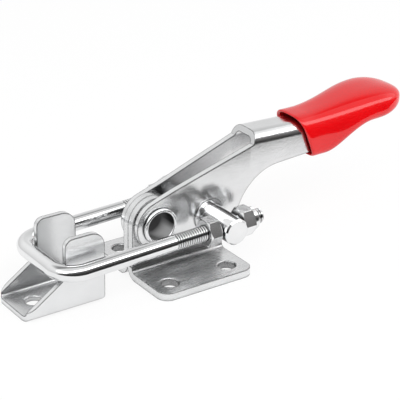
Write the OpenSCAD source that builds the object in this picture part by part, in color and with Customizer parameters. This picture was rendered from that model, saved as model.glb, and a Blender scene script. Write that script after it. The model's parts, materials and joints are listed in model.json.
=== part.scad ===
// Latch toggle clamp with an adjustable U-hook and a separate catch plate, shown closed.
// Millimetres. X runs from the catch plate to the handle, Y across the clamp, Z up.
// The origin is the centre of the base's hole pattern, on the mounting face.
// Near pieces lie at negative Y and far pieces at positive Y.

/* [Base plates] */
// Length of each base plate
base_len = 40.6; // [39:0.2:46]
// Width over both flanges
base_width = 48.6; // [46:0.2:56]
// Sheet thickness of a base plate
base_t = 3; // [2:0.1:3.5]
// Inside radius of the flange bend
base_bend_r = 2; // [1:0.1:3]
// Corner radius of a flange
base_corner_r = 4.5; // [1:0.1:6]
// Distance between hole centres along the clamp
hole_pitch_x = 25.4; // [20:0.2:28]
// Distance between hole centres across the clamp
hole_pitch_y = 33.6; // [30:0.2:36]
// Diameter of a mounting hole
hole_d = 6.6; // [4:0.1:8]
// Rolled edge of a mounting hole
hole_edge = 0.4; // [0.1:0.05:0.8]
// Corner radius of the shoulder that stops the trunnion pin
shoulder_r = 4; // [2:0.1:6]
// Radius between shoulder and round top
notch_r = 2.5; // [1:0.1:4]

/* [Pivot] */
// Distance of the lever's pivot from the origin, towards the catch
pivot_x = 10; // [8:0.1:12]
// Height of the pivot above the mounting face
pivot_z = 20.7; // [19.5:0.1:26]
// Radius of the base plates' round top
base_top_r = 10; // [8.5:0.1:10]
// Outside diameter of the hollow rivet
rivet_d = 12.6; // [9:0.1:14]
// Wall of the hollow rivet
rivet_wall = 0.8; // [0.5:0.05:1.5]
// Radius of the rivet's rolled rim
rim_r = 0.75; // [0.5:0.05:1]

/* [Lever] */
// Sheet thickness of the lever
lever_t = 2.5; // [2:0.1:3]
// Radius of the cheeks' round front end
cheek_end_r = 9.5; // [8.5:0.1:9.8]
// Distance from the pivot to the bend along the clamp
bend_run = 41; // [38:0.2:46]
// Height of the cheeks' top edge at the bend above the pivot
bend_rise = 23.2; // [21:0.2:26]
// Height of the arch's crown above the bend
arch_rise = 4.4; // [3.6:0.1:5]
// Lean of the arch's front edge
arch_lean = 1.6; // [0.5:0.1:3]
// Width of the handle channel
channel_w = 14.4; // [13.6:0.1:17]
// Distance from the pivot to where the cheeks start to spread
spread_start = 7; // [4:0.1:9]
// Length of the steel handle behind the bend
handle_len = 52; // [50:0.5:53]
// Downward slope of the handle in degrees
handle_drop = 2; // [0:0.1:3]
// Height of the handle channel's side walls at the bend
channel_h = 10.6; // [9.5:0.1:12]
// Radius of the concave sweep under the handle
sweep_r = 20; // [16:0.1:20.5]
// Distance from the trunnion to the cheeks' rear edge
rear_run = 12.7; // [12:0.1:14]
// Lean of the cheeks' rear edge in degrees
rear_lean = 8.6; // [6:0.1:11]
// Fall of the cheeks' lower edge in degrees
cheek_fall = 2; // [0:0.1:4]
// Radius of the lobe behind the trunnion
lobe_r = 7.8; // [5:0.1:8]
// Slope of the channel's lower edge in degrees
edge_slope = 3.5; // [0:0.1:4]
// Distance from the bend to the start of the handle's narrow tail
tail_start = 29; // [27:0.2:31]
// Run over which the handle narrows to its tail
tail_run = 16; // [14:0.2:18]
// Height of the handle's narrow tail
tail_h = 3.6; // [3:0.1:4.5]

/* [Trunnion] */
// Distance from the pivot to the trunnion
arm_len = 21.9; // [20.5:0.1:23]
// Angle of the trunnion below the pivot when closed, in degrees
arm_angle = 2.9; // [1.5:0.1:4]
// Diameter of the trunnion pin
pin_d = 10; // [8.5:0.1:10.5]
// Length of the trunnion pin
pin_len = 48.4; // [46:0.2:56]
// Chamfer of the pin's ends
pin_chamfer = 0.6; // [0.2:0.1:1]
// Wall of a trunnion bush
bush_wall = 0.95; // [0.6:0.05:1.2]
// Width of a bush's collar beyond its wall
collar_lip = 0.5; // [0.3:0.1:1.2]
// Thickness of a bush's collar
collar_t = 1.2; // [0.8:0.1:1.5]
// Least depth of the collar's seat in the cheek
seat_sink = 0.15; // [0.1:0.05:0.3]

/* [Hook and nuts] */
// Diameter of the hook's rod
rod_d = 6; // [5:0.1:6.4]
// Distance between the axes of the hook's legs
leg_pitch = 34.6; // [33:0.2:38]
// Centreline radius of the hook's bends
hook_bend_r = 9; // [7:0.1:10]
// Length of rod that stands out of a rear nut
rod_out = 3.1; // [2.5:0.1:8]
// Chamfer of the rod's ends
rod_chamfer = 0.8; // [0.3:0.1:1.2]
// Width of a nut across its flats
nut_af = 10; // [9:0.1:11]
// Thickness of a nut's hexagon
nut_t = 5; // [3:0.1:6]
// Bevel of a nut's faces
nut_bevel = 0.15; // [0.1:0.05:0.4]
// Diameter of a rear nut's locking collar
lock_d = 9; // [8:0.1:9.4]
// Height of a rear nut's locking collar
lock_h = 2.2; // [1.5:0.1:3]
// Rounded edge of a locking collar
lock_edge = 0.8; // [0.4:0.1:1]

/* [Catch plate] */
// Gap between the base plates and the catch plate
catch_gap = 16.5; // [12:0.2:24]
// Width of the catch plate
catch_width = 22.2; // [21:0.2:24]
// Length of the catch plate
catch_len = 31.8; // [30:0.2:35]
// Sheet thickness of the catch plate
catch_t = 2; // [1.5:0.1:2.5]
// Inside radius of the catch plate's bends
catch_bend_r = 1; // [0.5:0.1:2]
// Length of an ear
ear_len = 16; // [15:0.1:19]
// Height of the ears' top
ear_top = 28.1; // [26:0.1:32]
// Radius of an ear's rear corner
ear_rear_r = 5.5; // [3:0.1:7]
// Radius of an ear's front corner
ear_front_r = 3.2; // [2:0.1:5]
// Height of the hook's bar above the mounting face
seat_z = 17.6; // [17:0.1:19]
// Height of the front edge of the side walls
toe_z = 2.8; // [2.4:0.1:4]
// Slope of the side walls in degrees
toe_slope = 34; // [28:0.5:37]
// Radius between slope and ear
throat_r = 4; // [2:0.1:5]
// Radius at the foot of the slope
foot_r = 1.2; // [0.6:0.1:1.6]
// Radius of the lower rear corner of the side walls
heel_r = 2; // [1:0.1:4]
// Corner radius of the toe, seen from above
toe_r = 4.2; // [3:0.1:6]
// Diameter of a catch plate hole
catch_hole_d = 6.6; // [4:0.1:8]
// Distance from the toe to the front hole
catch_hole_front = 9; // [7.5:0.1:10]
// Distance between the catch plate's holes
catch_hole_pitch = 15; // [12:0.1:16]

/* [Grip] */
// Distance from the bend to the middle of the grip's mouth
mouth_start = 25.7; // [23:0.1:27]
// Length of the grip
grip_len = 48.4; // [46:0.1:54]
// Width of the grip at its mouth
mouth_w = 19; // [18.6:0.1:21]
// Height of the mouth's lower lip below the steel
mouth_below = 2.5; // [2.2:0.1:4]
// Height of the mouth's upper lip above the steel
mouth_above = 2.4; // [2:0.1:4]
// Lean of the mouth in degrees
mouth_lean = 22; // [10:0.5:25]
// Radius of the rounded lip
lip_r = 1; // [0.5:0.1:1.4]
// Width of the grip at its tongue
tongue_w = 26.4; // [22:0.1:28]
// Height of the tongue's top above the crown of the arch
tongue_lift = 5.7; // [4:0.1:7]
// Depth of the tongue's underside below the steel's tail
tongue_below = 1.2; // [1.1:0.1:3]
// Rise of the top towards the round end
tip_rise = 0.8; // [0:0.1:2]
// Rise of the underside towards the round end
tip_taper = 1.8; // [0:0.1:2.5]
// Length of the grip's rounded end
grip_cap = 14; // [10:0.1:16]

/* [Clearances] */
// Gap between each cheek and its base plate
cheek_gap = 0.1; // [0.05:0.05:0.3]
// Radial gap of a running fit
run_gap = 0.05; // [0.02:0.01:0.1]
// Radial gap of the rod in the trunnion pin
rod_gap = 0.1; // [0.05:0.01:0.1]
// Gap between the hook and the ears' front corners
seat_gap = 0.5; // [0.1:0.05:0.8]
// Gap between the trunnion pin and its stop on the base plates
stop_gap = 0.6; // [0.1:0.05:0.8]
// Gap between a nut and the trunnion pin
nut_gap = 0.1; // [0.05:0.05:0.3]
// Gap between the grip and the steel inside it
grip_gap = 0.5; // [0.3:0.05:0.8]

/* [Hidden] */
$fn = 64;
steel = [0.78, 0.79, 0.80];
red = [0.80, 0.04, 0.03];
NEAR = -1;
FAR = 1;
FRONT = -1;
REAR = 1;
// Length of tools that cut right through
through = 200;
// A rounding arc runs a hair past its tangent points, so that it crosses the edges it rounds
past_tangent = 1.0005;

// Places of the axes, as [x, z]
pivot = [-pivot_x, pivot_z];
trunnion = pivot + arm_len * [cos(arm_angle), -sin(arm_angle)];
catch_rear = -base_len / 2 - catch_gap;
ear_front = catch_rear - ear_len;
rod_r = rod_d / 2;
// The ears' corners may reach into the hook's bends, which keeps the bar further away
bend_inner_r = hook_bend_r - rod_r;
bend_y = leg_pitch / 2 - hook_bend_r;
bend_reach = max(0, catch_width / 2 - bend_y);
bend_gap = bend_inner_r - sqrt(bend_inner_r * bend_inner_r - bend_reach * bend_reach);
bar = [ear_front - seat_gap - bend_gap - rod_r, seat_z];
hook_len = norm(bar - trunnion);
hook_angle = asin((bar.y - trunnion.y) / hook_len);

// Half widths of the lever, from the middle plane to the sheet's faces
cheek_in = base_t + cheek_gap;
cheek_out = cheek_in + lever_t;
channel_out = channel_w / 2;
channel_in = channel_out - lever_t;

// Lever outline, as [x, z] from the pivot
bend = [bend_run, bend_rise];
crown = bend + [arch_lean, arch_rise];
top_angle = atan2(bend.y, bend.x) - asin(cheek_end_r / norm(bend));
top_tangent = cheek_end_r * [-sin(top_angle), cos(top_angle)];
arm = trunnion - pivot;
fall_dir = [cos(cheek_fall), -sin(cheek_fall)];
low_tangent = -cheek_end_r * [sin(cheek_fall), cos(cheek_fall)];
rear_dir = [sin(rear_lean), cos(rear_lean)];
edge_dir = [cos(edge_slope), sin(edge_slope)];
edge_place = bend - [0, channel_h];
lobe_corner = meet(low_tangent, fall_dir, arm + [rear_run, 0], rear_dir);
sweep_corner = meet(edge_place, edge_dir, arm + [rear_run, 0], rear_dir);
tail_x = bend.x + tail_start;
tail_edge = edge_place + edge_dir * tail_start / edge_dir.x;
handle_end = bend.x + handle_len;
function crown_z(x) = crown.y - (x - crown.x) * tan(handle_drop);
// The narrow tail runs parallel to the handle's top
tail_near = [tail_x + tail_run, crown_z(tail_x + tail_run) - tail_h];
tail_far = [handle_end, crown_z(handle_end) - tail_h];
function steel_bottom(x) =
    x < tail_edge.x ? edge_place.y + (x - edge_place.x) * tan(edge_slope)
    : x < tail_near.x ? tail_edge.y + (x - tail_edge.x) * (tail_near.y - tail_edge.y) / tail_run
    : crown_z(x) - tail_h;

// The cheeks spread to the width of the channel just before the bend
flush_len = 1.5;
spread_slope = (channel_out - cheek_out) / (bend.x - flush_len - spread_start);
function cheek_face(x) = cheek_out + (x - spread_start) * spread_slope;

// Trunnion bush: the collar lies in a flat seat pressed into the spread cheek
pin_r = pin_d / 2;
bush_r = pin_r + run_gap + bush_wall;
collar_r = bush_r + collar_lip;
seat_y = cheek_face(arm.x - collar_r) - seat_sink;
bush_end = cheek_face(arm.x - bush_r) - lever_t;

function unit(v) = v / norm(v);
function cross2(a, b) = a.x * b.y - a.y * b.x;
// Where the line through p along u meets the line through q along v
function meet(p, u, q, v) = p + u * cross2(q - p, v) / cross2(u, v);
function mix(a, b, t) = a + (b - a) * t;
function smooth(a, b, x) = let (t = min(1, max(0, (x - a) / (b - a)))) t * t * (3 - 2 * t);

// Extrudes an [x, z] outline across the clamp, centred on the middle plane
module across(width) {
    rotate([90, 0, 0])
        linear_extrude(height = width, center = true)
            children();
}

// Extrudes a [y, z] section along the clamp from the origin
module lengthways(length) {
    rotate([90, 0, 90])
        linear_extrude(height = length)
            children();
}

// Cylinder across the clamp at an [x, z] place, from y0 to y1
module cross_rod(place, r, y0, y1) {
    translate([place.x, y0, place.y])
        rotate([-90, 0, 0])
            cylinder(r = r, h = y1 - y0);
}

// The piece between a corner and the arc that rounds it, carried a little past the corner
module corner_patch(before, corner, after, r) {
    u = unit(before - corner);
    v = unit(after - corner);
    half = acos(u * v) / 2;
    middle = unit(u + v);
    centre = corner + middle * r / sin(half);
    reach = r / tan(half);
    difference() {
        polygon([corner - middle * r / 4, corner + u * reach, centre, corner + v * reach]);
        translate(centre)
            circle(r = r * past_tangent);
    }
}

// Polygon, anticlockwise, with a true arc at each corner that has a radius
module rounded_outline(points, radii) {
    n = len(points);
    turns = [for (i = [0 : n - 1])
        cross2(points[i] - points[(i + n - 1) % n], points[(i + 1) % n] - points[i])];
    difference() {
        union() {
            polygon(points);
            for (i = [0 : n - 1])
                if (radii[i] > 0 && turns[i] < 0)
                    corner_patch(points[(i + n - 1) % n], points[i], points[(i + 1) % n], radii[i]);
        }
        for (i = [0 : n - 1])
            if (radii[i] > 0 && turns[i] > 0)
                corner_patch(points[(i + n - 1) % n], points[i], points[(i + 1) % n], radii[i]);
    }
}

// Folded L of a base plate, as a [y, z] section for the far side
module base_section(height) {
    outer_r = base_bend_r + base_t;
    difference() {
        union() {
            square([base_t, height]);
            square([base_width / 2, base_t]);
            translate([base_t, base_t])
                difference() {
                    square(base_bend_r);
                    translate([base_bend_r, base_bend_r])
                        circle(r = base_bend_r);
                }
        }
        difference() {
            square(outer_r);
            translate([outer_r, outer_r])
                circle(r = outer_r);
        }
    }
}

// Upright of a base plate: round top at the pivot, and a rear shoulder that stops the trunnion pin
module upright_outline() {
    front = pivot.x - base_top_r;
    shoulder = trunnion.y - pin_r - stop_gap;
    rear = base_len / 2;
    translate(pivot)
        circle(r = base_top_r);
    rounded_outline(
        [[front, 0], [rear, 0], [rear, shoulder], [pivot.x + base_top_r, shoulder],
            [pivot.x + base_top_r, pivot.y], [front, pivot.y]],
        [0, 0, shoulder_r, notch_r, 0, 0]);
}

module flange_outline() {
    half = base_len / 2;
    rounded_outline(
        [[-half, 0], [half, 0], [half, base_width / 2], [-half, base_width / 2]],
        [0, 0, base_corner_r, base_corner_r]);
}

module base_plate(side) {
    bend_top = base_t + base_bend_r;
    height = pivot_z + base_top_r;
    color(steel)
        mirror([0, side == NEAR ? 1 : 0, 0])
            difference() {
                intersection() {
                    translate([-base_len / 2, 0, 0])
                        lengthways(base_len)
                            base_section(height);
                    union() {
                        linear_extrude(height = bend_top)
                            flange_outline();
                        intersection() {
                            across(base_width)
                                upright_outline();
                            translate([-base_len / 2, 0, bend_top])
                                cube([base_len, base_t, height]);
                        }
                    }
                }
                cross_rod(pivot, rivet_d / 2, -1, base_t + 1);
                for (x = [-1, 1])
                    translate([x * hole_pitch_x / 2, hole_pitch_y / 2, 0])
                        mounting_hole(hole_d, base_t);
            }
}

// Punched hole with a rolled upper edge, for a sheet that lies on the mounting face
module mounting_hole(d, thickness) {
    translate([0, 0, -1])
        cylinder(d = d, h = thickness + 2);
    translate([0, 0, thickness - hole_edge])
        cylinder(d1 = d, d2 = d + 4 * hole_edge, h = 2 * hole_edge);
}

// Tube through the stack, rolled over outside each cheek
module pivot_rivet() {
    outer = rivet_d / 2;
    inner = outer - rivet_wall;
    rim_y = cheek_out + cheek_gap + rim_r;
    color(steel)
        translate([pivot.x, 0, pivot.y])
            rotate([-90, 0, 0])
                rotate_extrude() {
                    translate([inner, -rim_y])
                        square([rivet_wall, 2 * rim_y]);
                    for (side = [NEAR, FAR])
                        translate([inner + rim_r, side * rim_y])
                            circle(r = rim_r);
                }
}

// Side view of the lever, from the pivot
module lever_outline() {
    circle(r = cheek_end_r);
    rounded_outline(
        [top_tangent, low_tangent, lobe_corner, sweep_corner, tail_edge, tail_near, tail_far,
            [handle_end, crown_z(handle_end)], crown, bend],
        [0, 0, lobe_r, sweep_r, 0, 0, 0, 0, 0, 0]);
}

// Cheeks that spread like a wedge, cut to an arched channel whose crown lies drop below the lever's
module lever_form(cheek, channel, radius, drop) {
    front = -2 * cheek_end_r;
    rear = 2 * handle_end;
    wide = cheek + (rear - spread_start) * spread_slope;
    depth = through / 2;
    intersection() {
        translate([0, 0, -depth])
            linear_extrude(height = 2 * depth)
                polygon([
                    [front, -cheek], [spread_start, -cheek], [rear, -wide],
                    [rear, wide], [spread_start, cheek], [front, cheek]
                ]);
        translate([crown.x, 0, crown.y - drop])
            rotate([0, handle_drop, 0])
                translate([-through / 2, 0, 0])
                    lengthways(through)
                        rounded_outline(
                            [[-channel, -depth], [channel, -depth], [channel, 0], [-channel, 0]],
                            [0, 0, radius, radius]);
    }
}

// Folded sheet of the lever before its outline is cut
module lever_sheet() {
    difference() {
        lever_form(cheek_out, channel_out, arch_rise, 0);
        lever_form(cheek_in, channel_in, arch_rise - lever_t, lever_t);
    }
}

module lever() {
    color(steel)
        translate([pivot.x, 0, pivot.y])
            difference() {
                intersection() {
                    lever_sheet();
                    across(2 * channel_w)
                        lever_outline();
                }
                cross_rod([0, 0], rivet_d / 2 + run_gap, -through, through);
                cross_rod(arm, bush_r, -through, through);
                cross_rod(arm, collar_r, seat_y, through);
                cross_rod(arm, collar_r, -through, -seat_y);
            }
}

module trunnion_bush(side) {
    bore = pin_r + run_gap;
    color(steel)
        mirror([0, side == NEAR ? 1 : 0, 0])
            translate([trunnion.x, 0, trunnion.y])
                rotate([-90, 0, 0])
                    rotate_extrude() {
                        translate([bore, bush_end])
                            square([bush_wall, seat_y + collar_t - bush_end]);
                        translate([bore, seat_y])
                            square([bush_wall + collar_lip, collar_t]);
                    }
}

// Frame of the hook: origin on the trunnion axis, with the bar towards negative X
module hook_frame() {
    translate([trunnion.x, 0, trunnion.y])
        rotate([0, hook_angle, 0])
            children();
}

// Rod along the hook's leg on one side, from x0 to x1 in the hook's frame
module leg_rod(side, r, x0, x1) {
    translate([x0, side * leg_pitch / 2, 0])
        rotate([0, 90, 0])
            cylinder(r = r, h = x1 - x0);
}

module trunnion_pin() {
    color(steel)
        hook_frame()
            difference() {
                rotate([-90, 0, 0])
                    rotate_extrude()
                        polygon([
                            [0, -pin_len / 2], [pin_r - pin_chamfer, -pin_len / 2],
                            [pin_r, -pin_len / 2 + pin_chamfer], [pin_r, pin_len / 2 - pin_chamfer],
                            [pin_r - pin_chamfer, pin_len / 2], [0, pin_len / 2]
                        ]);
                for (side = [NEAR, FAR])
                    leg_rod(side, rod_r + rod_gap, -through, through);
            }
}

module u_hook() {
    bend_x = hook_bend_r - hook_len;
    rear = pin_r + nut_gap + nut_t + lock_h + rod_out;
    color(steel)
        hook_frame() {
            for (side = [NEAR, FAR]) {
                leg_rod(side, rod_r, bend_x, rear - rod_chamfer);
                translate([rear - rod_chamfer, side * leg_pitch / 2, 0])
                    rotate([0, 90, 0])
                        cylinder(r1 = rod_r, r2 = rod_r - rod_chamfer, h = rod_chamfer);
                translate([bend_x, side * bend_y, 0])
                    rotate([0, 0, side == FAR ? 90 : 180])
                        rotate_extrude(angle = 90)
                            translate([hook_bend_r, 0])
                                circle(r = rod_r);
            }
            cross_rod([-hook_len, 0], rod_r, -bend_y, bend_y);
        }
}

// Hexagon nut on a leg of the hook, with its seat at the origin and its end along +Z
module hook_nut(side, end) {
    corner_r = nut_af / 2 / cos(30);
    face_r = nut_af / 2 - nut_bevel;
    slope = (corner_r - face_r) * tan(30);
    color(steel)
        hook_frame()
            translate([end * (pin_r + nut_gap), side * leg_pitch / 2, 0])
                rotate([0, end * 90, 0])
                    difference() {
                        union() {
                            intersection() {
                                rotate([0, 0, 30])
                                    cylinder(r = corner_r, h = nut_t, $fn = 6);
                                rotate_extrude()
                                    polygon([
                                        [0, 0], [face_r, 0], [corner_r, slope],
                                        [corner_r, nut_t - slope], [face_r, nut_t], [0, nut_t]
                                    ]);
                            }
                            if (end == REAR)
                                locking_collar();
                        }
                        translate([0, 0, -1])
                            cylinder(r = rod_r + run_gap, h = nut_t + lock_h + 2);
                    }
}

// Rounded collar behind the hexagon of a rear nut
module locking_collar() {
    root = nut_t / 2;
    top = nut_t + lock_h;
    rotate_extrude() {
        translate([0, root])
            square([lock_d / 2, top - lock_edge - root]);
        translate([0, root])
            square([lock_d / 2 - lock_edge, top - root]);
        translate([lock_d / 2 - lock_edge, top - lock_edge])
            circle(r = lock_edge);
    }
}

// Side view of the catch plate
module catch_outline() {
    toe = catch_rear - catch_len;
    throat_z = toe_z + (ear_front - toe) * tan(toe_slope);
    rounded_outline(
        [[toe, 0], [catch_rear, 0], [catch_rear, ear_top], [ear_front, ear_top],
            [ear_front, throat_z], [toe, toe_z]],
        [0, heel_r, ear_rear_r, ear_front_r, throat_r, foot_r]);
}

// Folded channel of the catch plate, as a [y, z] section
module catch_section() {
    half = catch_width / 2;
    inner = half - catch_t;
    outer_r = catch_bend_r + catch_t;
    difference() {
        rounded_outline(
            [[-half, 0], [half, 0], [half, ear_top + 1], [-half, ear_top + 1]],
            [outer_r, outer_r, 0, 0]);
        rounded_outline(
            [[-inner, catch_t], [inner, catch_t], [inner, ear_top + 2], [-inner, ear_top + 2]],
            [catch_bend_r, catch_bend_r, 0, 0]);
    }
}

// Plan of the catch plate, with its toe corners rounded
module catch_plan() {
    toe = catch_rear - catch_len;
    half = catch_width / 2;
    rounded_outline(
        [[toe, -half], [catch_rear, -half], [catch_rear, half], [toe, half]],
        [toe_r, 0, 0, toe_r]);
}

module catch_plate() {
    toe = catch_rear - catch_len;
    color(steel)
        difference() {
            intersection() {
                translate([toe, 0, 0])
                    lengthways(catch_len)
                        catch_section();
                across(catch_width + 2)
                    catch_outline();
                linear_extrude(height = ear_top + 1)
                    catch_plan();
            }
            for (i = [0, 1])
                translate([toe + catch_hole_front + i * catch_hole_pitch, 0, 0])
                    mounting_hole(catch_hole_d, catch_t);
        }
}

// Grip: rings of points run from the bottom of its pocket to the mouth, then to its round end
ring_points = 40;
pocket_steps = 8;
body_steps = 16;
mouth_x = bend.x + mouth_start;
pocket_end = handle_end + grip_gap;
top_start = crown_z(mouth_x) + mouth_above;
bottom_start = steel_bottom(mouth_x) - mouth_below;
tongue_top = crown.y + tongue_lift;
tongue_bottom = tail_far.y - tongue_below;
// Flare of the pocket at the mouth, upwards and sideways
flare_up = 0.9;
flare_side = 0.5;
// Squareness of a ring's upper and lower half: 2 is an ellipse
arch_square = 3.2;
floor_square = 5;
pocket_square = 8;
tongue_square = 2.8;
// Outer skin at a share u of the length: half width, top, underside and squareness
function skin_half(u) = mix(mouth_w, tongue_w, smooth(0.05, 0.75, u)) / 2;
function skin_top(u) = mix(top_start, tongue_top, smooth(0.1, 0.7, u)) + tip_rise * smooth(0.6, 1, u);
function skin_bottom(u) = mix(bottom_start, tongue_bottom, smooth(0.12, 0.64, u)) + tip_taper * smooth(0.6, 1, u);
function skin_square(start, u) = mix(start, tongue_square, smooth(0, 0.6, u));
// Share of its full section that is left in the rounded end
function cap_share(u) = let (d = (u - 1) * grip_len / grip_cap + 1) d > 0 ? sqrt(max(0, 1 - d * d)) : 1;
function lean(u) = tan(mouth_lean) * (1 - smooth(0, 0.6, u));
// Ring of a rounded box: x of its middle, half width, top, bottom, both squarenesses and slant
function ring(x, half, top, bottom, up, down, slant) = [
    for (i = [0 : ring_points - 1])
        let (
            a = 360 * (i + 0.5) / ring_points,
            power = 2 / (a < 180 ? up : down),
            y = half * sign(cos(a)) * pow(abs(cos(a)), power),
            z = (top - bottom) / 2 * sign(sin(a)) * pow(abs(sin(a)), power)
        )
        [x - slant * z, y, (top + bottom) / 2 + z]
];
function skin_ring(u) = let (
        middle = (skin_top(u) + skin_bottom(u)) / 2,
        rise = (skin_top(u) - skin_bottom(u)) / 2 * cap_share(u)
    )
    ring(mouth_x + u * grip_len, skin_half(u) * cap_share(u), middle + rise, middle - rise,
        skin_square(arch_square, u), skin_square(floor_square, u), lean(u));
function pocket_ring(u) = let (
        x = mix(mouth_x, pocket_end, u),
        flare = 1 - smooth(0, 0.2, u),
        top = crown_z(x) + grip_gap + flare_up * flare,
        bottom = steel_bottom(min(x, handle_end)) - grip_gap - flare_up * flare
    )
    ring(x, channel_out + grip_gap + flare_side * flare, top, bottom, arch_square, pocket_square, lean(u));

module handle_grip() {
    pocket = [for (i = [pocket_steps : -1 : 0]) pocket_ring(i / pocket_steps)];
    inner = pocket_ring(0);
    outer = skin_ring(0);
    lip = [for (a = [45, 90, 135]) [for (i = [0 : ring_points - 1])
        mix(inner[i], outer[i], (1 - cos(a)) / 2) - [lip_r * sin(a), 0, 0]]];
    body_end = 1 - grip_cap / grip_len;
    body = [for (i = [0 : body_steps]) skin_ring(body_end * i / body_steps)];
    cap = [for (a = [15, 30, 45, 60, 75, 86]) skin_ring(mix(body_end, 1, sin(a)))];
    rings = concat(pocket, lip, body, cap);
    n = ring_points;
    last = len(rings) - 1;
    sides = [for (r = [0 : last - 1]) for (i = [0 : n - 1])
        [r * n + i, r * n + (i + 1) % n, (r + 1) * n + (i + 1) % n, (r + 1) * n + i]];
    start = [[for (i = [n - 1 : -1 : 0]) i]];
    finish = [[for (i = [0 : n - 1]) last * n + i]];
    color(red)
        translate([pivot.x, 0, pivot.y])
            polyhedron(
                points = [for (r = rings) each r],
                faces = concat(sides, start, finish));
}

base_plate(NEAR);  // base_plate_near
base_plate(FAR);  // base_plate_far
pivot_rivet();
lever();
handle_grip();
trunnion_bush(NEAR);  // trunnion_bush_near
trunnion_bush(FAR);  // trunnion_bush_far
trunnion_pin();
u_hook();
hook_nut(NEAR, FRONT);  // front_nut_near
hook_nut(NEAR, REAR);  // rear_nut_near
hook_nut(FAR, FRONT);  // front_nut_far
hook_nut(FAR, REAR);  // rear_nut_far
catch_plate();
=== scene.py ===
"""Looks of a latch toggle clamp: plated steel, threaded U-hook, moulded grip, floor, light and camera."""

import json
import math

import bpy
from mathutils import Matrix, Vector


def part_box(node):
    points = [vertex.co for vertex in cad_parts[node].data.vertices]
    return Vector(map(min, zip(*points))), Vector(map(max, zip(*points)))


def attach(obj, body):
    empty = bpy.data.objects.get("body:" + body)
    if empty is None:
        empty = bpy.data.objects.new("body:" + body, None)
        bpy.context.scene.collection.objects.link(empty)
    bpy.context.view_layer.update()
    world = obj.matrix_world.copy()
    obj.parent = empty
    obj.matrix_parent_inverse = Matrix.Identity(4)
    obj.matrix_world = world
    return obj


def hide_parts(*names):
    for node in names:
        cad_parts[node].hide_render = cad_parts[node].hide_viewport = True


MM = 0.001

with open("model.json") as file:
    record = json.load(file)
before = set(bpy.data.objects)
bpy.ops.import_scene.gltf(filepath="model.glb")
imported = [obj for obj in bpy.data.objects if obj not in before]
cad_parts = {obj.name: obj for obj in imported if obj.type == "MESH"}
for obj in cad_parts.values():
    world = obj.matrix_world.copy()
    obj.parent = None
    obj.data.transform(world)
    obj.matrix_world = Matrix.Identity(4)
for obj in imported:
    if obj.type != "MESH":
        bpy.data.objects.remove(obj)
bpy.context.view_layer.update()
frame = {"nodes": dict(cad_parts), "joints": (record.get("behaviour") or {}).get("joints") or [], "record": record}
nodes = frame["nodes"]


def mix(a, b, share):
    """From a at a share of 0 to b at a share of 1."""
    return a + (b - a) * share


def smooth(start, end, value):
    """0 before start, 1 after end, with a soft step between them."""
    t = min(max((value - start) / (end - start), 0), 1)
    return t * t * (3 - 2 * t)


def joint(name):
    """The record's joint of that name."""
    return next(j for j in frame["joints"] if j["name"] == name)


def add_object(name, data):
    """A new object in the scene."""
    obj = bpy.data.objects.new(name, data)
    bpy.context.scene.collection.objects.link(obj)
    return obj


def dress(obj, material):
    """Gives an object that one material."""
    obj.data.materials.clear()
    obj.data.materials.append(material)


# Materials: lengths in metres, noise scales in features per metre, tones as linear colours

NOISE_LOW = 0.3
NOISE_HIGH = 0.7
SHADER_SAMPLES = 6

CLOUD_SCALE = 90.0
CLOUD_DETAIL = 3.0
GRAIN_DETAIL = 4.0
GRAIN_ROUGHNESS = 0.6
GRAIN_STRENGTH = 0.05
GRAIN_HEIGHT = 0.00002
SPECK_SCALE = 1300.0
SPECK_HEIGHT = 0.00005
SMOOTHEST = 0.85
ROUGHEST = 1.2

ROD_TONES = ((0.84, 0.845, 0.85, 1), (0.78, 0.785, 0.79, 1))
ROD_ROUGH = 0.09
ROD_GRAIN = (900, 90, 90)
ROD_EDGE = 0.0002
ROD_PEEL = 0.02

SHEET_TONES = ((0.82, 0.825, 0.83, 1), (0.75, 0.755, 0.76, 1))
LEVER_ROUGH = 0.18
BASE_ROUGH = 0.27
CATCH_ROUGH = 0.23
SHEET_GRAIN = (60, 900, 900)
SHEET_EDGE = 0.0007
SHEET_PEEL = 0.3

NUT_TONES = ((0.88, 0.885, 0.89, 1), (0.78, 0.785, 0.79, 1))
NUT_ROUGH = 0.19
NUT_GRAIN = (500, 500, 500)
NUT_EDGE = 0.0004
NUT_PEEL = 0.3

# Painted shade: a thin dark line along sharp edges
EDGE_SHADE_TONE = (0.03, 0.03, 0.031, 1)
EDGE_SHARP = 0.88
EDGE_FLAT = 0.96

# Painted shade in corners and folds: how far it reaches, and how open a place is where that shade is full and
# where it ends
CORNER_SHADE_TONE = (0.12, 0.12, 0.122, 1)
CORNER_SHADE_REACH = (0.0018, 0.15, 0.75)
FOLD_SHADE_TONE = (0.16, 0.16, 0.163, 1)
LEVER_FOLD_SHADE = (0.012, 0.15, 0.6)
BASE_FOLD_SHADE = (0.007, 0.62, 0.9)
CATCH_FOLD_SHADE = (0.014, 0.3, 0.85)

GROOVE = "groove"
# Painted shade down in the thread's grooves
GROOVE_SHADE_TONE = (0.06, 0.06, 0.062, 1)
GROOVE_DEEP = 0.9
GROOVE_SHALLOW = 0.3

# Rivet's bore, with painted shade inside and a painted pool of light on its floor: how far below its axis, as a
# share of the radius, and how far in that floor is pale
BORE_R = 5.6 * MM
BORE_SHADE_TONE = (0.04, 0.04, 0.041, 1)
BORE_LIT_FLOOR_TONE = (0.95, 0.955, 0.96, 1)
BORE_LIT_FLOOR = 0.5
BORE_LIT_DEPTH = 0.009
BORE_ROUGH = 0.4
BORE_FADE = 0.00025

RED_TONES = ((0.58, 0.002, 0.004, 1), (0.63, 0.003, 0.005, 1))
RED_ROUGH = (0.04, 0.07)
RED_IOR = 1.55
RED_CLOUD_SCALE = 70.0
RED_PEEL_SCALE = 260.0
RED_PEEL_STRENGTH = 0.07
RED_PEEL_HEIGHT = 0.00012


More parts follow.
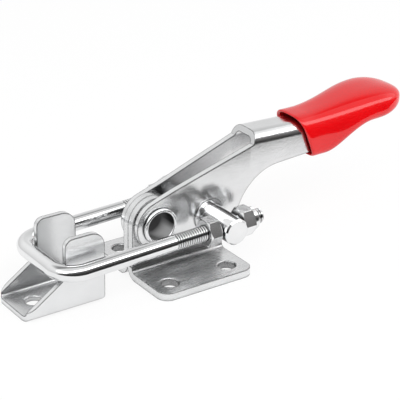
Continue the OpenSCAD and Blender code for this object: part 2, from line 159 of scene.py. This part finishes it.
class Nodes:
    """A short way to add and link shader nodes."""

    def __init__(self, tree):
        self.tree = tree
        tree.nodes.clear()

    def add(self, kind, inputs=None, **settings):
        """A new node; an input is a plain value, or the socket that it is linked to."""
        node = self.tree.nodes.new(kind)
        for key, value in settings.items():
            setattr(node, key, value)
        for key, value in (inputs or {}).items():
            if isinstance(value, bpy.types.NodeSocket):
                self.tree.links.new(value, node.inputs[key])
            else:
                node.inputs[key].default_value = value
        return node

    def show(self, shader, kind="ShaderNodeOutputMaterial"):
        """Makes a shader the surface of the material or the world."""
        self.add(kind, {"Surface": shader})

    def place(self):
        """Object coordinates."""
        return self.add("ShaderNodeTexCoord").outputs["Object"]

    def parts(self, vector):
        """The X, Y and Z of a vector."""
        return self.add("ShaderNodeSeparateXYZ", {"Vector": vector}).outputs

    def calc(self, operation, first, second):
        """Arithmetic with two numbers."""
        return self.add("ShaderNodeMath", {0: first, 1: second}, operation=operation).outputs[0]

    def vector(self, operation, first, second, output="Vector"):
        """Arithmetic with two vectors."""
        node = self.add("ShaderNodeVectorMath", {0: first, 1: second}, operation=operation)
        return node.outputs[output]

    def noise(self, vector, scale, detail=2.0, roughness=0.5):
        """A cloudy value around one half."""
        values = {"Vector": vector, "Scale": scale, "Detail": detail, "Roughness": roughness}
        return self.add("ShaderNodeTexNoise", values).outputs["Fac"]

    def ramp(self, value, start, end, low=0.0, high=1.0, step="LINEAR"):
        """Low at start and high at end, and level beyond them."""
        values = {"Value": value, "From Min": start, "From Max": end, "To Min": low, "To Max": high}
        return self.add("ShaderNodeMapRange", values, interpolation_type=step).outputs["Result"]

    def spread(self, noise, low=0.0, high=1.0):
        """Maps a noise value to the range from low to high."""
        return self.ramp(noise, NOISE_LOW, NOISE_HIGH, low, high)

    def mixed(self, share, first, second, kind="RGBA"):
        """From the first value to the second; each is plain, or a socket."""
        values = {"Factor": share, "A": first, "B": second}
        return self.add("ShaderNodeMix", values, data_type=kind).outputs["Result"]

    def painted_corner_shade(self, tone, corner, reach, closed, open_, **settings):
        """The tone on open faces, and painted shade in corners that are closed in within that reach."""
        values = {"Distance": reach}
        shelter = self.add("ShaderNodeAmbientOcclusion", values, samples=SHADER_SAMPLES, **settings)
        return self.mixed(self.ramp(shelter.outputs["AO"], closed, open_), corner, tone)

    def painted_edge_shade(self, tone, softened):
        """The tone on flat faces, and a thin line of painted shade on sharp edges, where the soft normal turns
        away.
        """
        face = self.add("ShaderNodeNewGeometry").outputs["True Normal"]
        bend = self.vector("DOT_PRODUCT", softened, face, "Value")
        return self.mixed(self.ramp(bend, EDGE_SHARP, EDGE_FLAT), EDGE_SHADE_TONE, tone)

    def painted_groove_shade(self, tone):
        """The tone on crests, and painted shade down in the grooves of a mesh that says how deep they are."""
        depth = self.add("ShaderNodeAttribute", attribute_name=GROOVE).outputs["Fac"]
        return self.mixed(self.ramp(depth, GROOVE_DEEP, GROOVE_SHALLOW), GROOVE_SHADE_TONE, tone)

    def painted_bore_light_and_shade(self, tone, rough, centre, radius, half):
        """The tone and roughness outside a hole along Y, and inside it painted shade with a duller roughness.

        A painted pool of light makes the hole's floor paler near its front mouth, where light falls in.
        """
        place = self.place()
        flat = self.vector("MULTIPLY", place, (1, 0, 1))
        reach = self.vector("DISTANCE", flat, (centre[0], 0, centre[2]), "Value")
        outside = self.ramp(reach, radius, radius + BORE_FADE)
        parts = self.parts(place)
        near = self.ramp(parts["Y"], BORE_LIT_DEPTH - half, -half)
        low = self.ramp(parts["Z"], centre[2], centre[2] - radius * BORE_LIT_FLOOR)
        wall = self.mixed(self.calc("MULTIPLY", near, low), BORE_SHADE_TONE, BORE_LIT_FLOOR_TONE)
        return self.mixed(outside, wall, tone), self.mixed(outside, BORE_ROUGH, rough, "FLOAT")


def new_material(name):
    """A material with an empty tree of nodes, and the means to fill it."""
    material = bpy.data.materials.new(name)
    material.use_nodes = True
    return material, Nodes(material.node_tree)


def plated_steel(
        name, tones, rough, grain, edge=0.0, peel=ROD_PEEL,
        edge_shaded=False, fold_shade=None, bore=None, groove_shaded=False):
    """Bright zinc plating: cloudy tone, fine grain along the rolling or turning direction, soft edges.

    Every piece gets painted shade in corners that other parts or its own shape close in, and a piece may get a
    thin line of painted shade along its sharp edges. Painted shade in a piece's own folds is given by how far it
    reaches, and how open a place is where that shade is full and where it ends. A bore is the centre, radius and
    half length of a hole along Y that gets painted shade inside, a painted pool of light on its floor near the
    front mouth, and a duller roughness. A piece may get painted shade down in its grooves.
    """
    material, n = new_material(name)
    light, dark = tones
    stretched = n.add("ShaderNodeMapping", {"Vector": n.place(), "Scale": grain}).outputs["Vector"]
    lines = n.noise(stretched, 1.0, GRAIN_DETAIL, GRAIN_ROUGHNESS)
    speck = n.noise(n.place(), SPECK_SCALE)
    tone = n.mixed(n.spread(n.noise(n.place(), CLOUD_SCALE, CLOUD_DETAIL)), dark, light)
    gloss = n.spread(lines, rough * SMOOTHEST, rough * ROUGHEST)
    grain_bump = {"Strength": GRAIN_STRENGTH, "Distance": GRAIN_HEIGHT, "Height": lines}
    if edge:
        softened = n.add("ShaderNodeBevel", {"Radius": edge}, samples=SHADER_SAMPLES).outputs["Normal"]
        grain_bump["Normal"] = softened
        # Painted shade line along the sharp edges
        if edge_shaded:
            tone = n.painted_edge_shade(tone, softened)
    # Painted shade in corners that other parts close in, and in the piece's own folds
    tone = n.painted_corner_shade(tone, CORNER_SHADE_TONE, *CORNER_SHADE_REACH)
    if fold_shade:
        tone = n.painted_corner_shade(tone, FOLD_SHADE_TONE, *fold_shade, only_local=True)
    # Painted shade inside the bore, with a painted pool of light on its floor near the front mouth
    if bore:
        tone, gloss = n.painted_bore_light_and_shade(tone, gloss, *bore)
    # Painted shade down in the grooves
    if groove_shaded:
        tone = n.painted_groove_shade(tone)
    bumped = n.add("ShaderNodeBump", grain_bump).outputs["Normal"]
    fine_bump = {"Strength": peel, "Distance": SPECK_HEIGHT, "Height": speck, "Normal": bumped}
    fine = n.add("ShaderNodeBump", fine_bump).outputs["Normal"]
    values = {"Metallic": 1.0, "Base Color": tone, "Roughness": gloss, "Normal": fine}
    n.show(n.add("ShaderNodeBsdfPrincipled", values).outputs["BSDF"])
    return material


def moulded_red():
    """Glossy dip-moulded grip: an even red with a faint cloud, a soft orange-peel and a clear gloss."""
    material, n = new_material("red_grip")
    cloud = n.noise(n.place(), RED_CLOUD_SCALE, CLOUD_DETAIL)
    peel = n.noise(n.place(), RED_PEEL_SCALE)
    bump = {"Strength": RED_PEEL_STRENGTH, "Distance": RED_PEEL_HEIGHT, "Height": peel}
    values = {
        "Base Color": n.mixed(n.spread(cloud), *RED_TONES),
        "Roughness": n.spread(peel, *RED_ROUGH),
        "IOR": RED_IOR,
        "Normal": n.add("ShaderNodeBump", bump).outputs["Normal"],
    }
    n.show(n.add("ShaderNodeBsdfPrincipled", values).outputs["BSDF"])
    return material


def plated_sheet(name, rough, fold_shade):
    """Plating on a piece folded from sheet, with a painted shade line along its edges and painted shade in its
    folds.
    """
    return plated_steel(
        name, SHEET_TONES, rough, SHEET_GRAIN, SHEET_EDGE, SHEET_PEEL, edge_shaded=True, fold_shade=fold_shade)


catch = plated_sheet("plated_sheet", CATCH_ROUGH, CATCH_FOLD_SHADE)
base = plated_sheet("plated_base", BASE_ROUGH, BASE_FOLD_SHADE)
lever = plated_sheet("plated_lever", LEVER_ROUGH, LEVER_FOLD_SHADE)
rod = plated_steel("plated_rod", ROD_TONES, ROD_ROUGH, ROD_GRAIN, ROD_EDGE)
thread = plated_steel("plated_thread", ROD_TONES, ROD_ROUGH, ROD_GRAIN, groove_shaded=True)
rivet_bore = (joint("lever_swing")["pos_m"], BORE_R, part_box("pivot_rivet")[1].y)
rivet = plated_steel("plated_rivet", ROD_TONES, ROD_ROUGH, ROD_GRAIN, ROD_EDGE, bore=rivet_bore)
nut = plated_steel("plated_nut", NUT_TONES, NUT_ROUGH, NUT_GRAIN, NUT_EDGE, NUT_PEEL, edge_shaded=True)
red = moulded_red()

by_slot = {"plated_sheet": catch, "plated_rod": rod, "plated_nut": nut, "red_grip": red}
by_node = {"pivot_rivet": rivet, "lever": lever, "base_plate_near": base, "base_plate_far": base}
for row in frame["record"]["subparts"]:
    dress(nodes[row["node"]], by_node.get(row["node"], by_slot[row["material_slot"]]))


# Meshes made of rings of points


def ring_mesh(name, rings):
    """A smooth closed mesh through rings that all have the same number of points."""
    count = len(rings[0])
    last = (len(rings) - 1) * count
    points = [p for ring in rings for p in ring]
    faces = []
    for first in range(0, last, count):
        for i in range(count):
            j = (i + 1) % count
            faces.append((first + i, first + j, first + count + j, first + count + i))
    faces.append(tuple(range(count - 1, -1, -1)))
    faces.append(tuple(range(last, last + count)))
    mesh = bpy.data.meshes.new(name)
    mesh.from_pydata(points, [], faces)
    mesh.polygons.foreach_set("use_smooth", [len(f) == 4 for f in faces])
    mesh.update()
    return add_object(name, mesh)


# Grip, in millimetres from the lever's pivot: x towards the handle, z up

CROWN = (42.6, 27.6)
HANDLE_DROP = math.radians(2)
HANDLE_END = 93.0
UNDERSIDE = (41.0, 12.6)
UNDERSIDE_SLOPE = math.radians(3.5)
TAIL_START = 70.0
TAIL_RUN = 16.0
TAIL_H = 3.6
MOUTH_X = 66.7
GRIP_LEN = 48.4
MOUTH_W = 19.0
MOUTH_BELOW = 2.5
MOUTH_ABOVE = 2.4
MOUTH_LEAN = math.radians(22)
LIP_R = 1.0
TONGUE_W = 26.4
TONGUE_LIFT = 5.7
TONGUE_BELOW = 1.2
TIP_RISE = 0.8
TIP_TAPER = 1.8
GRIP_CAP = 14.0
GRIP_GAP = 0.5
CHANNEL_HALF = 7.2
FLARE_UP = 0.9
FLARE_SIDE = 0.5

# Shares of the length between which the grip changes from its mouth to its tongue
WIDENS = (0.05, 0.75)
TOP_LIFTS = (0.1, 0.7)
BOTTOM_LIFTS = (0.12, 0.64)
TIP_FORMS = (0.6, 1)
STRAIGHTENS = (0, 0.6)
FLARE_ENDS = (0, 0.2)

ARCH_SQUARE = 3.2
FLOOR_SQUARE = 5.0
POCKET_SQUARE = 8.0
TONGUE_SQUARE = 2.8
GRIP_POINTS = 112
POCKET_STEPS = 16
LIP_STEPS = 10
BODY_STEPS = 56
CAP_STEPS = 24


def crown_z(x):
    """Top of the steel handle."""
    return CROWN[1] - (x - CROWN[0]) * math.tan(HANDLE_DROP)


def steel_bottom(x):
    """Underside of the steel handle, which thins towards its tail."""
    edge = UNDERSIDE[1] + (min(x, TAIL_START) - UNDERSIDE[0]) * math.tan(UNDERSIDE_SLOPE)
    tail = crown_z(TAIL_START + TAIL_RUN) - TAIL_H
    if x <= TAIL_START:
        return edge
    if x >= TAIL_START + TAIL_RUN:
        return crown_z(x) - TAIL_H
    return mix(edge, tail, (x - TAIL_START) / TAIL_RUN)


def super_ring(x, half, top, bottom, up, down, slant):
    """Ring of a rounded box: squareness 2 is an ellipse, more is squarer."""
    ring = []
    for i in range(GRIP_POINTS):
        a = 2 * math.pi * (i + 0.5) / GRIP_POINTS
        power = 2 / (up if a < math.pi else down)
        c, s = math.cos(a), math.sin(a)
        y = half * math.copysign(abs(c) ** power, c)
        z = (top - bottom) / 2 * math.copysign(abs(s) ** power, s)
        ring.append(Vector((x - slant * z, y, (top + bottom) / 2 + z)))
    return ring


def skin_ring(u, share=1.0):
    """Outer skin at a share u of the grip's length, shrunk to a share of its full section."""
    top_start = crown_z(MOUTH_X) + MOUTH_ABOVE
    bottom_start = steel_bottom(MOUTH_X) - MOUTH_BELOW
    tongue_top = CROWN[1] + TONGUE_LIFT
    tongue_bottom = crown_z(HANDLE_END) - TAIL_H - TONGUE_BELOW
    tip = smooth(*TIP_FORMS, u)
    half = mix(MOUTH_W, TONGUE_W, smooth(*WIDENS, u)) / 2
    top = mix(top_start, tongue_top, smooth(*TOP_LIFTS, u)) + TIP_RISE * tip
    bottom = mix(bottom_start, tongue_bottom, smooth(*BOTTOM_LIFTS, u)) + TIP_TAPER * tip
    middle = (top + bottom) / 2
    rise = (top - bottom) / 2 * share
    straight = smooth(*STRAIGHTENS, u)
    return super_ring(
        MOUTH_X + u * GRIP_LEN, half * share, middle + rise, middle - rise,
        mix(ARCH_SQUARE, TONGUE_SQUARE, straight), mix(FLOOR_SQUARE, TONGUE_SQUARE, straight),
        math.tan(MOUTH_LEAN) * (1 - straight))


def pocket_ring(u):
    """Inside of the pocket that holds the steel tail."""
    x = mix(MOUTH_X, HANDLE_END + GRIP_GAP, u)
    flare = 1 - smooth(*FLARE_ENDS, u)
    top = crown_z(x) + GRIP_GAP + FLARE_UP * flare
    bottom = steel_bottom(min(x, HANDLE_END)) - GRIP_GAP - FLARE_UP * flare
    half = CHANNEL_HALF + GRIP_GAP + FLARE_SIDE * flare
    lean = math.tan(MOUTH_LEAN) * (1 - smooth(*STRAIGHTENS, u))
    return super_ring(x, half, top, bottom, ARCH_SQUARE, POCKET_SQUARE, lean)


def make_grip():
    """A dipped sleeve: pocket, rounded lip at the mouth, skin and domed end."""
    rings = [pocket_ring(i / POCKET_STEPS) for i in range(POCKET_STEPS, -1, -1)]
    inner, outer = rings[-1], skin_ring(0)
    for i in range(1, LIP_STEPS):
        a = math.pi * i / LIP_STEPS
        bulge = Vector((LIP_R * math.sin(a), 0, 0))
        rings.append([p.lerp(q, (1 - math.cos(a)) / 2) - bulge for p, q in zip(inner, outer)])
    body_end = 1 - GRIP_CAP / GRIP_LEN
    rings += [skin_ring(body_end * i / BODY_STEPS) for i in range(BODY_STEPS + 1)]
    for i in range(1, CAP_STEPS):
        a = math.pi / 2 * i / CAP_STEPS
        rings.append(skin_ring(mix(body_end, 1, math.sin(a)), math.cos(a)))
    pivot = Vector(joint("lever_swing")["pos_m"])
    grip = ring_mesh("grip", [[pivot + p * MM for p in ring] for ring in rings])
    dress(grip, red)
    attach(grip, "lever_arm")
    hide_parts("handle_grip")


# U-hook with its threads, in metres

ROD_R = 3.0 * MM
ROD_POINTS = 48
ROD_CHAMFER = 0.8 * MM
BEND_R = 9.0 * MM
THREAD_PITCH = 1.0 * MM
THREAD_DEPTH = 0.55 * MM
THREAD_RUNOUT = 1.2 * MM
THREAD_FRONT = -12.0 * MM
RINGS_PER_PITCH = 10
BEND_STEPS = 40
BAR_STEPS = 24


def thread_radius(x, start, end):
    """Radius round the rod at a distance x along a leg, threaded between start and end."""
    depth = THREAD_DEPTH * smooth(start, start + THREAD_RUNOUT, x)
    tip = max(0, x - (end - ROD_CHAMFER))

    def radius(angle):
        turn = (x / THREAD_PITCH - angle / (2 * math.pi)) % 1
        groove = 1 - abs(2 * turn - 1)
        return min(ROD_R - depth * (1 - groove), ROD_R - tip)

    return radius


def rod_stations(half, rear, thread_start):
    """Places along the rod, from one rear end round the bar to the other: x, y, heading, radius."""
    leg = []
    steps = math.ceil((rear - thread_start) / THREAD_PITCH * RINGS_PER_PITCH)
    for i in range(steps + 1):
        x = mix(rear, thread_start, i / steps)
        leg.append((x, thread_radius(x, thread_start, rear)))
    plain = leg[-1][1]
    forward, sideways, back = math.pi, 1.5 * math.pi, 2 * math.pi
    bend_y = half - BEND_R
    stations = [(x, half, forward, radius) for x, radius in leg]
    for i in range(BEND_STEPS + 1):
        a = math.pi / 2 * i / BEND_STEPS
        stations.append((BEND_R * (1 - math.sin(a)), bend_y + BEND_R * math.cos(a), forward + a, plain))
    for i in range(1, BAR_STEPS):
        stations.append((0, mix(bend_y, -bend_y, i / BAR_STEPS), sideways, plain))
    for i in range(BEND_STEPS + 1):
        a = math.pi / 2 * i / BEND_STEPS
        stations.append((BEND_R * (1 - math.cos(a)), -bend_y - BEND_R * math.sin(a), sideways + a, plain))
    stations += [(x, -half, back, radius) for x, radius in reversed(leg)]
    return stations


def make_hook():
    """One bent rod: its threads are a helix cut into the rear stretch of each leg."""
    low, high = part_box("u_hook")
    along = -Vector(joint("hook_reach")["axis"])
    across = Vector((0, 1, 0))
    up = across.cross(along) * -1
    trunnion = Vector(joint("hook_swing")["pos_m"])
    reach = (trunnion.x - (low.x + ROD_R)) / along.x
    bar = trunnion - along * reach
    half = high.y - ROD_R
    rear = (high.x - bar.x) / along.x
    rings = []
    depths = []
    for x, y, heading, radius in rod_stations(half, rear, (THREAD_FRONT - bar.x) / along.x):
        tangent = along * math.cos(heading) + across * math.sin(heading)
        side = tangent.cross(up)
        centre = bar + along * x + across * y
        ring = []
        for i in range(ROD_POINTS):
            a = 2 * math.pi * i / ROD_POINTS
            ring.append(centre + (side * math.cos(a) + up * math.sin(a)) * radius(a))
            depths.append((ROD_R - radius(a)) / THREAD_DEPTH)
        rings.append(ring)
    hook = ring_mesh("threaded_hook", rings)
    hook.data.attributes.new(GROOVE, "FLOAT", "POINT").data.foreach_set("value", depths)
    dress(hook, thread)
    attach(hook, "hook")
    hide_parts("u_hook")


make_grip()
make_hook()


# Stage: floor, light and camera

WHITE = (1, 1, 1, 1)
FLOOR_HALF = 4.0
FLOOR_PAPER = (0.85, 0.85, 0.85, 1)
FLOOR_WHITE_SEEN = 0.87
FLOOR_WHITE_MIRRORED = 0.5

CARD_PLACE = -0.09
CARD_HALF = 1.0
CARD_HEIGHT = 0.092
CARD_FADE = 0.035
CARD_DARK = 0.04
CARD_PALE = 0.3

# Room: the heights between which a side of it changes, and its level at the first and at the second
ROOM_LEFT = (0.0, 0.6, 0.7, 0.98)
ROOM_RIGHT = (0.0, 0.75, 0.95, 0.72)
ROOM_TURN = (0.1, 0.45)
OVERHEAD = (0.7, 0.9, 1.0, 0.3)

LAMP_DISTANCE = 1.0
PANEL_SIZE = (5.0, 1.26)
PANEL_ELEVATION = math.radians(70)
PANEL_LEVEL = 0.55
STRIP_SIZE = (3.0, 0.48)
STRIP_ELEVATION = math.radians(51.5)
STRIP_LEVEL = 2.0
FILL_SIZE = (1.5, 1.0)
FILL_ELEVATION = math.radians(15)
FILL_LEVEL = 0.15

CAMERA_PLACE = Vector((-280.98, -412.69, 257.45)) * MM
CAMERA_TARGET = Vector((17.25, 7.46, 19.1)) * MM
CAMERA_ROLL = math.radians(1.07)
CAMERA_LENS = 133.74
CAMERA_CLIP = (0.01, 50)
SENSOR = 36.0


def make_quad(name, corners):
    """One flat face."""
    mesh = bpy.data.meshes.new(name)
    mesh.from_pydata(corners, [], [(0, 1, 2, 3)])
    return add_object(name, mesh)


def make_floor():
    """A pale floor that takes shadows, whiter than its paper to the camera and in reflections."""
    s = FLOOR_HALF
    floor = make_quad("floor", [(-s, -s, 0), (s, -s, 0), (s, s, 0), (-s, s, 0)])
    material, n = new_material("floor_white")
    path = n.add("ShaderNodeLightPath").outputs
    seen = n.calc("MULTIPLY", path["Is Camera Ray"], FLOOR_WHITE_SEEN)
    through = n.calc("MAXIMUM", path["Is Glossy Ray"], path["Is Transmission Ray"])
    share = n.calc("ADD", seen, n.calc("MULTIPLY", through, FLOOR_WHITE_MIRRORED))
    paper = n.add("ShaderNodeBsdfDiffuse", {"Color": FLOOR_PAPER}).outputs[0]
    white = n.add("ShaderNodeEmission", {"Color": WHITE, "Strength": 1.0}).outputs[0]
    n.show(n.add("ShaderNodeMixShader", {0: share, 1: paper, 2: white}).outputs[0])
    dress(floor, material)


def make_card():
    """A dark card standing in front, out of the picture, that gives bright metal its dark bands."""
    s, y, h = CARD_HALF, CARD_PLACE, CARD_HEIGHT
    card = make_quad("card", [(-s, y, 0), (s, y, 0), (s, y, h), (-s, y, h)])
    material, n = new_material("card_dark")
    grey = n.ramp(n.parts(n.place())["Z"], CARD_FADE, CARD_HEIGHT, CARD_DARK, CARD_PALE)
    n.show(n.add("ShaderNodeBsdfDiffuse", {"Color": grey}).outputs[0])
    dress(card, material)
    card.visible_camera = False
    card.visible_diffuse = False
    card.visible_shadow = False


def make_world():
    """A pale room: lighter high up on the left and low down on the right, and dim overhead."""
    world = bpy.data.worlds.new("studio")
    world.use_nodes = True
    n = Nodes(world.node_tree)
    way = n.parts(n.add("ShaderNodeTexCoord").outputs["Generated"])
    turn = n.ramp(way["X"], *ROOM_TURN, step="SMOOTHSTEP")
    walls = n.mixed(turn, n.ramp(way["Z"], *ROOM_LEFT), n.ramp(way["Z"], *ROOM_RIGHT), "FLOAT")
    dimmed = n.ramp(way["Z"], *OVERHEAD, step="SMOOTHSTEP")
    level = n.calc("MULTIPLY", walls, dimmed)
    n.show(n.add("ShaderNodeBackground", {"Color": level}).outputs[0], "ShaderNodeOutputWorld")
    bpy.context.scene.world = world


def make_light(name, size, elevation, level):
    """A soft panel on the camera's side, aimed at the origin; level is its brightness."""
    data = bpy.data.lights.new(name, "AREA")
    data.shape = "RECTANGLE"
    data.size, data.size_y = size
    data.energy = level * math.pi * size[0] * size[1]
    lamp = add_object(name, data)
    away = Vector((0, -math.cos(elevation), math.sin(elevation)))
    lamp.location = away * LAMP_DISTANCE
    lamp.rotation_euler = (-away).to_track_quat("-Z", "Y").to_euler()
    lamp.visible_camera = False
    return lamp


def make_camera():
    """The photograph's view."""
    data = bpy.data.cameras.new("camera")
    data.sensor_width = SENSOR
    data.lens = CAMERA_LENS
    data.clip_start, data.clip_end = CAMERA_CLIP
    camera = add_object("camera", data)
    level = (CAMERA_TARGET - CAMERA_PLACE).to_track_quat("-Z", "Y").to_matrix().to_4x4()
    camera.matrix_world = Matrix.Translation(CAMERA_PLACE) @ level @ Matrix.Rotation(CAMERA_ROLL, 4, "Z")
    bpy.context.scene.camera = camera


make_floor()
make_card()
make_world()
make_light("soft_panel", PANEL_SIZE, PANEL_ELEVATION, PANEL_LEVEL)
make_light("strip", STRIP_SIZE, STRIP_ELEVATION, STRIP_LEVEL)
make_light("front_fill", FILL_SIZE, FILL_ELEVATION, FILL_LEVEL).visible_glossy = False
make_camera()
bpy.context.scene.view_settings.view_transform = "Standard"
